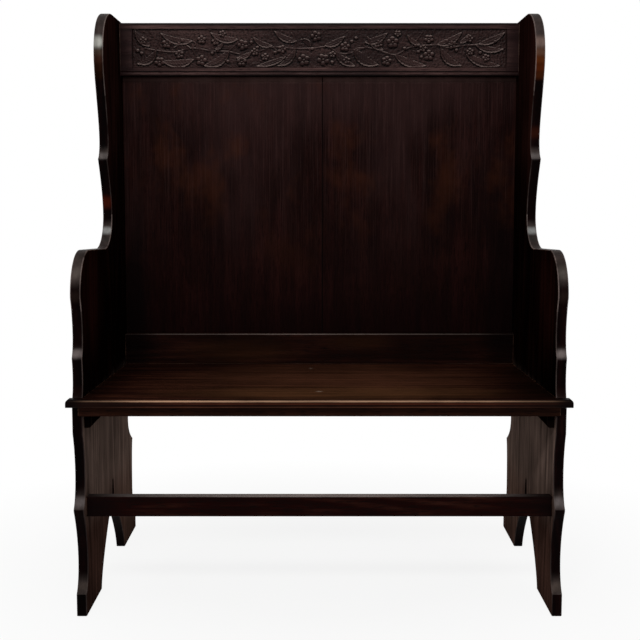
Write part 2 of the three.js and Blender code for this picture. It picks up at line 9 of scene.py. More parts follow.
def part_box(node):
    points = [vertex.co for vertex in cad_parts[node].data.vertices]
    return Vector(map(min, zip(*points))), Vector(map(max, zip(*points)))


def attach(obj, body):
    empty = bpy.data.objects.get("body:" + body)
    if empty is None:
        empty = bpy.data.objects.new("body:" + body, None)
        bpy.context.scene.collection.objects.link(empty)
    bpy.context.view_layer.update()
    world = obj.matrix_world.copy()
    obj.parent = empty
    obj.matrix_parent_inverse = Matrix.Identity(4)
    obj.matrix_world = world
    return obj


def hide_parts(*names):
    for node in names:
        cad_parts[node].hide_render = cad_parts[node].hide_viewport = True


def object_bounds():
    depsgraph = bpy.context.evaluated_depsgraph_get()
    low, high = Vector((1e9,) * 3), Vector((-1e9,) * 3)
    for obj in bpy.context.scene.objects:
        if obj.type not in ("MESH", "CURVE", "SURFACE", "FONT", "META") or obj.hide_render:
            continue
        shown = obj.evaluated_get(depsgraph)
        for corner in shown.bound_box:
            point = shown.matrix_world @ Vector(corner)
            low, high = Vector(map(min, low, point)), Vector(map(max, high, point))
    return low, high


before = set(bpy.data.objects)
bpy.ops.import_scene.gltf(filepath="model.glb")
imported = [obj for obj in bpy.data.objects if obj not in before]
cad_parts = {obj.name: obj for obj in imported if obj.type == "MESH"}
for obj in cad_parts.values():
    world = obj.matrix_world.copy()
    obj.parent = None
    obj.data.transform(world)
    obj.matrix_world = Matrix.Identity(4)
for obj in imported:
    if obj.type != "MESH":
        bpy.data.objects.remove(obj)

cad_low, cad_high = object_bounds()
scene = bpy.context.scene
scene.view_settings.view_transform = "Standard"

# Camera
# It stands in front of the middle of the settle, a little above the arms, and looks slightly down.
# Its focal length and shift are in pixels of the picture, and its distance is from the end boards.
picture_side = 640
focal_length = 929
shift_down = 56
seat_overhang = 0.024
camera_side_step = 0.0013
camera_distance = 1.811
camera_height = 0.867
camera_tilt = 4.82
camera_data = bpy.data.cameras.new("camera")
camera = bpy.data.objects.new("camera", camera_data)
scene.collection.objects.link(camera)
scene.camera = camera
camera_data.sensor_width = 36
camera_data.lens = 36 * (focal_length / picture_side)
camera_data.shift_y = -shift_down / picture_side
camera.location = (camera_side_step, cad_low.y + seat_overhang - camera_distance, camera_height)
camera.rotation_euler = (math.radians(90 - camera_tilt), 0, 0)


# Floor
# A plain matt white studio floor. Near the settle it takes the light and shadow, and farther off
# it is seen as plain white.
def add_node(tree, kind, inputs=None, **settings):
    """Adds a node; an input is given a value, or the output that feeds it."""
    made = tree.nodes.new(kind)
    for name, value in settings.items():
        setattr(made, name, value)
    for place, value in (inputs or {}).items():
        if isinstance(value, bpy.types.NodeSocket):
            tree.links.new(value, made.inputs[place])
        else:
            made.inputs[place].default_value = value
    return made


def colour(code):
    """A colour written as an sRGB hex value, made linear."""
    parts = [int(code[place:place + 2], 16) / 255 for place in (1, 3, 5)]
    return [part / 12.92 if part <= 0.04045 else ((part + 0.055) / 1.055) ** 2.4 for part in parts] + [1.0]


def empty_material(name):
    """A new material without nodes, and the tree for them."""
    material = bpy.data.materials.new(name)
    material.use_nodes = True
    material.node_tree.nodes.clear()
    return material, material.node_tree


def seen_itself(tree):
    """One for a ray that sees the surface, also in gloss or through glass, and zero for its light."""
    rays = add_node(tree, "ShaderNodeLightPath")
    seen = add_node(tree, "ShaderNodeMath", {
        0: rays.outputs["Is Camera Ray"], 1: rays.outputs["Is Glossy Ray"]}, operation="ADD")
    seen = add_node(tree, "ShaderNodeMath", {
        0: seen.outputs["Value"], 1: rays.outputs["Is Transmission Ray"]}, operation="ADD", use_clamp=True)
    return seen.outputs["Value"]


bpy.ops.mesh.primitive_plane_add(size=40)
floor = bpy.context.object
floor.name = "floor"
white_floor, tree = empty_material("matt white studio floor")
place = add_node(tree, "ShaderNodeTexCoord").outputs["Object"]
spread = add_node(tree, "ShaderNodeVectorMath", {0: place, 1: (0.9, 1.3, 0.0)}, operation="MULTIPLY")
distance = add_node(tree, "ShaderNodeVectorMath", {0: spread.outputs["Vector"]}, operation="LENGTH")
far_off = add_node(tree, "ShaderNodeMapRange", {
    "Value": distance.outputs["Value"], "From Min": 0.3, "From Max": 1.1, "To Min": 0.86, "To Max": 1.0})
white_share = add_node(tree, "ShaderNodeMath", {
    0: seen_itself(tree), 1: far_off.outputs["Result"]}, operation="MULTIPLY")
matt = add_node(tree, "ShaderNodeBsdfDiffuse", {"Color": colour("#e6e6e4")})
white = add_node(tree, "ShaderNodeEmission", {"Color": (1, 1, 1, 1), "Strength": 1.0})
mixed = add_node(tree, "ShaderNodeMixShader", {
    0: white_share.outputs["Value"], 1: matt.outputs["BSDF"], 2: white.outputs["Emission"]})
add_node(tree, "ShaderNodeOutputMaterial", {"Surface": mixed.outputs["Shader"]})
floor.data.materials.append(white_floor)

# Light
# A pale room all round, seen as plain white but lighting the settle at two fifths of that, and one
# wide soft lamp above and in front of the settle.
room = bpy.data.worlds.new("pale room")
scene.world = room
room.use_nodes = True
tree = room.node_tree
tree.nodes.clear()
brightness = add_node(tree, "ShaderNodeMapRange", {"Value": seen_itself(tree), "To Min": 0.4, "To Max": 1.0})
pale = add_node(tree, "ShaderNodeBackground", {
    "Color": (1, 1, 1, 1), "Strength": brightness.outputs["Result"]})
add_node(tree, "ShaderNodeOutputWorld", {"Surface": pale.outputs["Background"]})

lamp_data = bpy.data.lights.new("soft lamp", "AREA")
lamp_data.shape = "RECTANGLE"
lamp_data.size = 1.6
lamp_data.size_y = 0.35
lamp_data.energy = 56
lamp = bpy.data.objects.new("soft lamp", lamp_data)
scene.collection.objects.link(lamp)
lamp.location = (-0.25, -2.5, 2.55)
lamp_aim = Vector((0, 0, 0.75))
lamp.rotation_euler = (lamp_aim - lamp.location).to_track_quat("-Z", "Y").to_euler()


# End boards
# Two boards of plain-sawn oak, stained nearly black and waxed. Each is one plank with its grain
# upright, sawn to the cusped outline, with its arrises rubbed down and worn by hands and feet.
def copy_of_node(piece_name, node_name):
    """A new piece with the node's shape, its triangles merged to whole faces, open in edit mode."""
    for other in bpy.context.selected_objects:
        other.select_set(False)
    piece = bpy.data.objects.new(piece_name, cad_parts[node_name].data.copy())
    piece.data.name = piece_name
    scene.collection.objects.link(piece)
    bpy.context.view_layer.objects.active = piece
    piece.select_set(True)
    bpy.ops.mesh.customdata_custom_splitnormals_clear()
    piece.data.materials.clear()
    bpy.ops.object.mode_set(mode="EDIT")
    bpy.ops.mesh.select_all(action="SELECT")
    bpy.ops.mesh.remove_doubles(threshold=0.00002)
    bpy.ops.mesh.dissolve_limited(angle_limit=math.radians(0.5))
    return piece


def crisp(edge):
    """Tells whether two faces meet in an outer arris at this edge."""
    least_turn = math.radians(50)
    return len(edge.link_faces) == 2 and edge.calc_face_angle_signed(0) > least_turn


def arrises_over(least_length):
    """A choice of the outer arrises that are longer than this."""
    return lambda shape: [edge for edge in shape.edges if crisp(edge) and edge.calc_length() > least_length]


def outline_of_board(shape):
    """The arrises round a board's two broad faces, but not those round its mortises and holes."""
    least_length = 1.5
    found = [edge for edge in shape.edges if crisp(edge)
             and any(abs(face.normal.x) > 0.99 for face in edge.link_faces)]
    left, runs = set(found), []
    while left:
        run, waiting = [], [left.pop()]
        while waiting:
            edge = waiting.pop()
            run.append(edge)
            beside = [other for corner in edge.verts for other in corner.link_edges if other in left]
            left.difference_update(beside)
            waiting.extend(beside)
        runs.append(run)
    long_runs = [run for run in runs if sum(edge.calc_length() for edge in run) > least_length]
    return [edge for run in long_runs for edge in run]


def ease_arrises(piece, choice, width):
    """Rounds the chosen arrises over, notes their faces as worn, and smooths the piece."""
    shape = bmesh.from_edit_mesh(piece.data)
    bpy.ops.mesh.select_mode(type="EDGE")
    bpy.ops.mesh.select_all(action="DESELECT")
    for edge in choice(shape):
        edge.select_set(True)
    bmesh.update_edit_mesh(piece.data)
    bpy.ops.mesh.bevel(offset=width, segments=3, profile=0.5)
    bpy.ops.mesh.select_mode(type="FACE")
    shape = bmesh.from_edit_mesh(piece.data)
    worn = shape.faces.layers.float.new("wear")
    for face in shape.faces:
        # A broad face between two bevels can be selected too, and only a narrow strip counts.
        narrow = face.calc_area() < 0.45 * width * face.calc_perimeter()
        face[worn] = 1.0 if face.select and narrow else 0.0
    bmesh.update_edit_mesh(piece.data)
    bpy.ops.object.mode_set(mode="OBJECT")
    bpy.ops.object.shade_smooth_by_angle(angle=math.radians(38))
    even = piece.modifiers.new("even normals", "WEIGHTED_NORMAL")
    even.keep_sharp = True
    bpy.ops.object.modifier_apply(modifier=even.name)


def cut_away(piece, cutter):
    """Takes the cutter's shape out of the piece, and then the cutter out of the scene."""
    cut = piece.modifiers.new("cut", "BOOLEAN")
    cut.operation, cut.solver, cut.object = "DIFFERENCE", "EXACT", cutter
    cutter.select_set(False)
    piece.select_set(True)
    bpy.context.view_layer.objects.active = piece
    bpy.ops.object.modifier_apply(modifier=cut.name)
    bpy.data.objects.remove(cutter)


def away_from(tree, place, point, reach):
    """How far a place lies from the point, as a share of the reach along each axis."""
    away = add_node(tree, "ShaderNodeVectorMath", {0: place, 1: point}, operation="SUBTRACT")
    away = add_node(tree, "ShaderNodeVectorMath", {
        0: away.outputs["Vector"], 1: [1 / size for size in reach]}, operation="MULTIPLY")
    away = add_node(tree, "ShaderNodeVectorMath", {0: away.outputs["Vector"]}, operation="LENGTH")
    return away.outputs["Value"]


def oak_finish(name, deep, middle, light, worn, grain, shift, ring_share=0.16, fibre_scale=300.0,
               contrast=1.0, roughness=0.5, sheen=0.02, dry_rear=None, painted_upward_sheen=None, wear_and_painted_light=()):
    """Oak under a finish: ring lines, fibres, pores, uneven tone, wear on arrises, a painted sheen on slopes
    that face up, and patches of wear and of painted light and shade.
    """
    material, tree = empty_material(name)
    place = add_node(tree, "ShaderNodeTexCoord").outputs["Object"]
    normal = add_node(tree, "ShaderNodeNewGeometry").outputs["Normal"]
    facing = add_node(tree, "ShaderNodeSeparateXYZ", {0: normal})
    # The grain's marks are eighteen times as long as they are wide.
    along = {"X": (0.055, 1, 1), "Y": (1, 0.055, 1), "Z": (1, 1, 0.055)}[grain]
    board = add_node(tree, "ShaderNodeMapping", {
        "Vector": place, "Location": shift, "Scale": along}).outputs["Vector"]

    # Growth rings cut by the saw, as long lines about 9 mm apart that wander and close to tongues.
    ring_gap = 0.009
    figure = add_node(tree, "ShaderNodeTexNoise", {
        "Vector": board, "Scale": 7.0, "Detail": 1.5, "Roughness": 0.4, "Distortion": 0.25})
    rings = add_node(tree, "ShaderNodeMath", {
        0: figure.outputs["Fac"], 1: 0.9 / ring_gap}, operation="MULTIPLY")
    rings = add_node(tree, "ShaderNodeMath", {0: rings.outputs["Value"]}, operation="SINE")
    rings = add_node(tree, "ShaderNodeMapRange", {
        "Value": rings.outputs["Value"], "From Min": -1.0, "From Max": 1.0})
    # Fibres 3 to 7 mm wide; the real ones are finer and would not show.
    fibres = add_node(tree, "ShaderNodeTexNoise", {
        "Vector": board, "Scale": fibre_scale, "Detail": 3.0, "Roughness": 0.65})
    # Broad streaks, 25 mm wide.
    streaks = add_node(tree, "ShaderNodeTexNoise", {
        "Vector": board, "Scale": 40.0, "Detail": 2.0, "Roughness": 0.5})
    # Pores, the open pipes of oak, as dark dashes about 1.2 mm wide and 20 mm long.
    pores = add_node(tree, "ShaderNodeTexNoise", {
        "Vector": board, "Scale": 850.0, "Detail": 1.0, "Roughness": 0.4})
    pores = add_node(tree, "ShaderNodeMapRange", {
        "Value": pores.outputs["Fac"], "From Min": 0.56, "From Max": 0.68})
    # Stain and wax lie unevenly, in patches as large as a hand.
    patches = add_node(tree, "ShaderNodeTexNoise", {
        "Vector": place, "Scale": 5.5, "Detail": 3.0, "Roughness": 0.55})

    # All but the pores add up to one value, which picks the tone between the deep and the light one.
    grain_sum = add_node(tree, "ShaderNodeMath", {
        0: rings.outputs["Result"], 1: ring_share, 2: 0.5 * (0.3 - ring_share)}, operation="MULTIPLY_ADD")
    for part, share in ((fibres, 0.42), (streaks, 0.42), (patches, 0.5)):
        grain_sum = add_node(tree, "ShaderNodeMath", {
            0: part.outputs["Fac"], 1: share, 2: grain_sum.outputs["Value"]}, operation="MULTIPLY_ADD")
    whole_range = {"Value": grain_sum.outputs["Value"], "From Min": 0.5, "From Max": 1.15}
    tone = add_node(tree, "ShaderNodeMapRange", whole_range)
    tone = add_node(tree, "ShaderNodeValToRGB", {"Fac": tone.outputs["Result"]})
    tone.color_ramp.elements[0].color = colour(deep)
    tone.color_ramp.elements[1].color = colour(light)
    tone.color_ramp.elements.new(0.5).color = colour(middle)
    finish = add_node(tree, "ShaderNodeMix", {
        0: pores.outputs["Result"], 6: tone.outputs["Color"], 7: colour(deep)}, data_type="RGBA")

    # Rubbing is ragged: it skips what lies deeper.
    drawn_out = add_node(tree, "ShaderNodeMapping", {
        "Vector": place, "Scale": [size ** 0.5 for size in along]})
    patchy = add_node(tree, "ShaderNodeTexNoise", {
        "Vector": drawn_out.outputs["Vector"], "Scale": 40.0, "Detail": 6.0, "Roughness": 0.7})

    if painted_upward_sheen:
        # Slopes that face up get a painted sheen, as if they caught the lamp above.
        rising = add_node(tree, "ShaderNodeMapRange", {
            "Value": facing.outputs["Z"], "From Min": 0.12, "From Max": 0.42, "To Min": 0.0, "To Max": 0.9},
            interpolation_type="SMOOTHSTEP")
        ragged = add_node(tree, "ShaderNodeMapRange", {
            "Value": patchy.outputs["Fac"], "From Min": 0.3, "From Max": 0.62, "To Min": 0.35, "To Max": 1.0})
        painted_sheen_share = add_node(tree, "ShaderNodeMath", {
            0: rising.outputs["Result"], 1: ragged.outputs["Result"]}, operation="MULTIPLY")
        finish = add_node(tree, "ShaderNodeMix", {
            0: painted_sheen_share.outputs["Value"], 6: finish.outputs[2], 7: colour(painted_upward_sheen)}, data_type="RGBA")

    # Patches where the tone changes. Each is soft, and is given by its middle, its reach along the three
    # axes, its tone and its strength. Some are rubbing, dirt or wax on the stain; others are painted
    # highlights and painted shade.
    for point, reach, tint, strength in wear_and_painted_light:
        away = away_from(tree, place, point, reach)
        ragged = add_node(tree, "ShaderNodeMath", {
            0: patchy.outputs["Fac"], 1: 0.5, 2: away}, operation="MULTIPLY_ADD")
        changed = add_node(tree, "ShaderNodeMapRange", {
            "Value": ragged.outputs["Value"], "From Min": 0.4, "From Max": 1.2,
            "To Min": strength, "To Max": 0.0}, interpolation_type="SMOOTHSTEP")
        finish = add_node(tree, "ShaderNodeMix", {
            0: changed.outputs["Result"], 6: finish.outputs[2], 7: colour(tint)}, data_type="RGBA")

    # Arrises rubbed by hands and feet.
    arris = add_node(tree, "ShaderNodeAttribute", attribute_name="wear")
    ragged = add_node(tree, "ShaderNodeMapRange", {
        "Value": patchy.outputs["Fac"], "From Min": 0.36, "From Max": 0.66, "To Min": 0.1, "To Max": 0.85})
    rubbed = add_node(tree, "ShaderNodeMath", {
        0: arris.outputs["Fac"], 1: ragged.outputs["Result"]}, operation="MULTIPLY")
    finish = add_node(tree, "ShaderNodeMix", {
        0: rubbed.outputs["Value"], 6: finish.outputs[2], 7: colour(worn)}, data_type="RGBA")

    # The pores and the harder lines of the grain stay dark where the rest is rubbed.
    grain_lines = add_node(tree, "ShaderNodeMapRange", {
        "Value": grain_sum.outputs["Value"], "From Min": 0.6, "From Max": 1.05,
        "To Min": 1 - 0.4 * contrast, "To Max": 1 + 0.3 * contrast})
    finish = add_node(tree, "ShaderNodeMix", {
        0: 1.0, 6: finish.outputs[2], 7: grain_lines.outputs["Result"]},
        data_type="RGBA", blend_type="MULTIPLY")

    if dry_rear:
        # The side that stands to the wall has only a thin stain and no wax.
        rear = add_node(tree, "ShaderNodeMapRange", {
            "Value": facing.outputs["Y"], "From Min": 0.6, "From Max": 0.8})
        bare = add_node(tree, "ShaderNodeMapRange", {
            "Value": grain_sum.outputs["Value"], "From Min": 0.6, "From Max": 1.0})
        dry = add_node(tree, "ShaderNodeMix", {
            0: bare.outputs["Result"], 6: colour(dry_rear[0]), 7: colour(dry_rear[1])}, data_type="RGBA")
        finish = add_node(tree, "ShaderNodeMix", {
            0: rear.outputs["Result"], 6: finish.outputs[2], 7: dry.outputs[2]}, data_type="RGBA")

    # The fibres stand up a little, and the pores are open.
    height = add_node(tree, "ShaderNodeMath", {
        0: fibres.outputs["Fac"], 1: pores.outputs["Result"]}, operation="SUBTRACT")
    bump = add_node(tree, "ShaderNodeBump", {
        "Height": height.outputs["Value"], "Strength": 0.35, "Distance": 0.0006})
    gloss = add_node(tree, "ShaderNodeMapRange", {
        **whole_range, "To Min": roughness - 0.06, "To Max": roughness + 0.08})
    surface = add_node(tree, "ShaderNodeBsdfPrincipled", {
        "Base Color": finish.outputs[2], "Roughness": gloss.outputs["Result"], "Specular IOR Level": sheen,
        "Normal": bump.outputs["Normal"]})
    add_node(tree, "ShaderNodeOutputMaterial", {"Surface": surface.outputs["BSDF"]})
    return material


# Nearly black stain under wax. The outer faces show a little red; the inner faces are dull, blackest beside
# the seat, and paler grey brown on the legs below it, where light thrown up by the floor is painted; the sawn
# edges have a soft shine, with painted highlights where they slope upwards and at spots down the edge, and
# brown where hands have gone through the stain.
end_middle = 0.4795
end_inside = 0.469
slot_through = 0.04
slot_drop = 0.034
slot_width = 0.021
slot_height = 0.044
slot_narrowing = 0.55
end_looks = {
    "left": {
        "way": -1, "shift": (0.31, 0.1, 0.0), "red_spot": (0.055, 0.83, 0.022, "#3a1006"),
        "wing_highlight_and_wear_tones": ("#b2b0a9", "#3e3027", "#311b13", "#210f07", "#160802")},
    "right": {
        "way": 1, "shift": (1.73, 0.6, 0.4), "red_spot": (0.032, 0.985, 0.022, "#2a1008"),
        "wing_highlight_and_wear_tones": ("#745f57", "#5c3f30", "#56290f", "#4d1f08", "#3c1a08")}}
for side, look in end_looks.items():
    way, shift, lit_and_worn_tones = look["way"], look["shift"], look["wing_highlight_and_wear_tones"]
    end = copy_of_node(side + "_end", "end_board_" + side)
    ease_arrises(end, outline_of_board, width=0.002)

    # The foot arch ends in a narrow slot, wider below, where the saw was turned. The arch's top is the
    # highest corner near the board's middle and below the seat.
    arch_top = max((corner.co.z, corner.co.y) for corner in end.data.vertices
                   if abs(corner.co.y) < 0.1 and corner.co.z < 0.3)
    slot_z = arch_top[0] - slot_drop
    bpy.ops.object.select_all(action="DESELECT")
    bpy.ops.mesh.primitive_cube_add(size=1, location=(end_middle * way, arch_top[1], slot_z),
                                    scale=(slot_through, slot_width, slot_height))
    kerf = bpy.context.object
    bpy.ops.object.transform_apply(location=True, rotation=False, scale=True)
    for corner in kerf.data.vertices:
        if corner.co.z > slot_z:
            corner.co.y += slot_narrowing * (arch_top[1] - corner.co.y)
    cut_away(end, kerf)

    end.data.materials.append(oak_finish(
        "waxed oak of the outer face, " + side, "#150806", "#2b130d", "#40211a", "#6a554a", grain="Z",
        shift=shift))
    end.data.materials.append(oak_finish(
        "dull oak of the inner face, " + side, "#040101", "#0b0302", "#190906", "#6a554a", grain="Z",
        shift=shift, roughness=0.66, contrast=1.6, sheen=0.0, wear_and_painted_light=[
            # One on the wing, four that overlap on the legs as painted light thrown up by the floor, and a
            # red brown one by the arm.
            ((end_inside * way, 0.0, 1.1), (0.06, 0.3, 0.4), "#24110e", 0.9),
            ((end_inside * way, 0.15, 0.1), (0.06, 0.9, 0.34), "#48322b", 0.95),
            ((end_inside * way, 0.2, 0.2), (0.06, 0.22, 0.26), "#735b50", 0.8),
            ((end_inside * way, 0.1, 0.26), (0.06, 0.6, 0.14), "#766259", 0.95),
            ((end_inside * way, 0.15, 0.345), (0.06, 0.9, 0.12), "#7d685f", 0.95),
            ((end_inside * way, -0.14, 0.64), (0.06, 0.14, 0.19), "#1f0b08", 0.85)]))
    # Down the front edge, from the wing to the foot: how far back, how high, the reach and the tone. The grey
    # and pale ones are painted highlights, the dark ones painted shade between and below them, and the browns
    # and reds are tone where hands went through the stain.
    edge_highlights_shade_and_wear = (
        (0.01, 1.205, 0.02, "#3b3230"), (0.0, 1.177, 0.022, lit_and_worn_tones[0]), (0.0, 1.155, 0.017, lit_and_worn_tones[1]),
        (0.0, 1.139, 0.017, lit_and_worn_tones[2]), (0.0, 1.122, 0.017, lit_and_worn_tones[3]), (0.0, 1.106, 0.014, lit_and_worn_tones[4]),
        look["red_spot"], (0.02, 0.933, 0.012, "#5d5654"), (0.047, 0.766, 0.013, "#8a8a88"),
        (0.035, 0.748, 0.01, "#332f2c"), (-0.12, 0.728, 0.012, "#6d655f"), (-0.2, 0.69, 0.026, "#6f6760"),
        (-0.22, 0.65, 0.022, "#221814"), (-0.235, 0.535, 0.014, "#6a605e"), (-0.235, 0.456, 0.022, "#120504"),
        (-0.235, 0.236, 0.016, "#5c5453"), (-0.235, 0.058, 0.014, "#473d38"))
    # The edge's slopes that face up also get a painted sheen.
    end.data.materials.append(oak_finish(
        "rubbed edge of the " + side + " end", "#030101", "#090202", "#150706", "#7a6b67", grain="Z",
        shift=shift, roughness=0.38, sheen=0.012, painted_upward_sheen="#3f3633", wear_and_painted_light=[
            ((end_middle * way, back, high), (0.03, 0.04, reach), tint, 0.85)
            for back, high, reach, tint in edge_highlights_shade_and_wear]))
    for face in end.data.polygons:
        outwards = face.normal.x * way
        face.material_index = 0 if outwards > 0.92 else 1 if outwards < -0.92 else 2
        # Hands rub the arms and the wings. Beside the seat the arrises get half of that, and on the legs
        # and the long hollows a quarter.
        height = face.center.z
        rubbing = 0.25 if height < 0.44 or 0.8 < height < 1.06 else 0.5 if height < 0.62 else 1.0
        end.data.attributes["wear"].data[face.index].value *= rubbing
    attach(end, "root")
    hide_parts("end_board_" + side)

# Seat
# One wide oak plank let between the ends, with a rounded front edge that laps over both ends in two ears. It
# is stained as the rest and worn to a warmer brown by sitting, with a soft shine on its middle, a rubbed
# nosing with a painted highlight, and painted shade at both ends.
seat = copy_of_node("seat_plank", "seat_board")
ease_arrises(seat, arrises_over(0.005), width=0.0016)
seat.data.materials.append(oak_finish(
    "waxed oak worn by sitting", "#0e0402", "#1c0b07", "#331a10", "#6f4c39", grain="X",
    shift=(0.2, 0.37, 0.0), fibre_scale=150.0, contrast=1.5, roughness=0.42, sheen=0.025, wear_and_painted_light=(
        # Where one sits, and the strip in front of it.
        ((0.03, -0.03, 0.45), (0.5, 0.3, 0.1), "#43271a", 0.8),
        ((0.05, -0.19, 0.45), (0.5, 0.1, 0.1), "#543620", 0.5),
        # Two small scuffs.
        ((0.0, -0.175, 0.45), (0.011, 0.008, 0.1), "#8a7668", 0.8),
        ((-0.02, 0.11, 0.45), (0.008, 0.012, 0.1), "#6e5c50", 0.8),
        # Along the nosing: a painted highlight on its rubbed upper round, a painted shade line under it, a
        # warm lower edge, and its front.
        ((0.0, -0.2595, 0.4465), (0.9, 0.006, 0.0027), "#b08a6e", 0.9),
        ((0.0, -0.2605, 0.4385), (0.9, 0.004, 0.002), "#060101", 0.9),
        ((0.0, -0.2595, 0.4345), (0.9, 0.006, 0.0018), "#55301f", 0.7),
        ((0.1, -0.261, 0.4415), (0.6, 0.004, 0.003), "#4a2012", 0.7),
        # Painted shade on the sides by the end boards, and the ears darker.
        ((-0.5, -0.1, 0.45), (0.13, 0.5, 0.1), "#0d0402", 0.75),
        ((0.5, -0.05, 0.45), (0.2, 0.6, 0.1), "#0d0402", 0.85),
        ((-0.495, -0.25, 0.44), (0.045, 0.2, 0.1), "#070202", 0.95),
        ((0.495, -0.25, 0.44), (0.045, 0.2, 0.1), "#070202", 0.95))))
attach(seat, "root")
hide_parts("seat_board")

# Seat apron, stretcher and lower back rail
# Straight rails of the same stained oak with their grain lengthways: the apron is glued under the seat's
# front edge, and the others are tenoned into the end boards. The wax has a soft shine; the tenoned rails' top
# arris gets a painted highlight over grey wear, and their ends painted shade.
for name, node, shift, middle, rubbed in (
        ("apron", "seat_apron", (0.5, 0.9, 0.2), "#1f0d06", ()),
        ("stretcher", "front_stretcher", (0.1, 0.3, 0.7), "#140201", (
            # A painted highlight along the top arris, over grey wear, and painted shade at both ends.
            ((-0.03, -0.2165, 0.2446), (0.62, 0.5, 0.0019), "#8d807b", 0.95),
            ((-0.49, -0.2265, 0.22), (0.12, 0.06, 0.09), "#070101", 0.9),
            ((0.49, -0.2265, 0.22), (0.12, 0.06, 0.09), "#070101", 0.9))),
        ("lower_rail", "lower_back_rail", (0.8, 0.2, 0.5), "#180805", (
            ((-0.2, 0.17, 0.47), (0.2, 0.03, 0.05), "#2a160a", 0.6),
            ((0.1, 0.17, 0.49), (0.12, 0.03, 0.03), "#2a160a", 0.5),
            # A painted highlight along the top arris.
            ((0.0, 0.1715, 0.5098), (0.9, 0.01, 0.0018), "#776a64", 0.7),
            # Painted shade at both ends.
            ((-0.45, 0.17, 0.48), (0.09, 0.03, 0.09), "#060202", 0.85),
            ((0.45, 0.17, 0.48), (0.09, 0.03, 0.09), "#060202", 0.85)))):
    rail = copy_of_node(name, node)
    ease_arrises(rail, arrises_over(0.005), width=0.0012)
    rail.data.materials.append(oak_finish(
        "dark waxed oak of the " + name, "#0a0302", middle, "#2b150f", "#5d4438", grain="X", shift=shift,
        roughness=0.45, fibre_scale=200.0, contrast=0.8, wear_and_painted_light=rubbed))
    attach(rail, "root")
    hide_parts(node)

